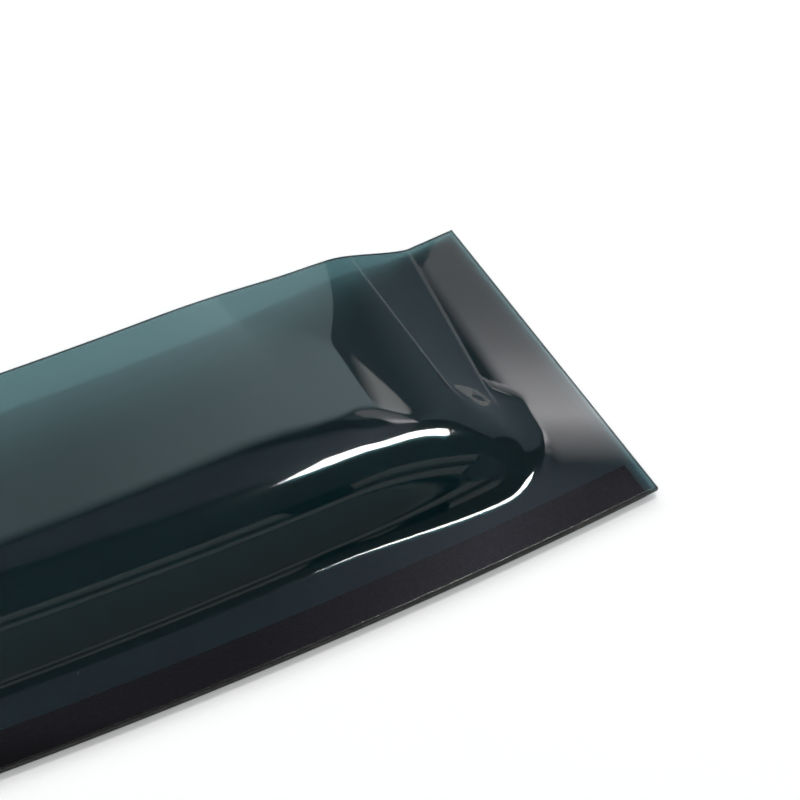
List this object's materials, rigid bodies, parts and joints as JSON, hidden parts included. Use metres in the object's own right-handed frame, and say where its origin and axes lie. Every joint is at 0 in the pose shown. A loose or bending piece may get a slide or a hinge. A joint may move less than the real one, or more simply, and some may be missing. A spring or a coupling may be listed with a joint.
{
  "type": "window rain deflector",
  "caption": "Tinted see-through rain deflector for a car door window: a formed acrylic sheet with a taped flange, a rounded front wall and a sloping drip blade.",
  "frame": {"origin": "middle of the outline's box, in the plane of the foam tape's adhesive face", "axes": "+X along the length towards the end that the picture shows, +Y from the taped mounting edge to the drip edge, +Z outward from the door"},
  "size_m": [0.56, 0.1264, 0.0135],
  "materials": {
    "acrylic": "smoke tinted clear acrylic, gloss",
    "foam_tape": "dark grey acrylic foam, matte"
  },
  "bodies": {
    "root": {"visor_shell": "acrylic", "mounting_tape": "foam_tape"}
  },
  "joints": []
}
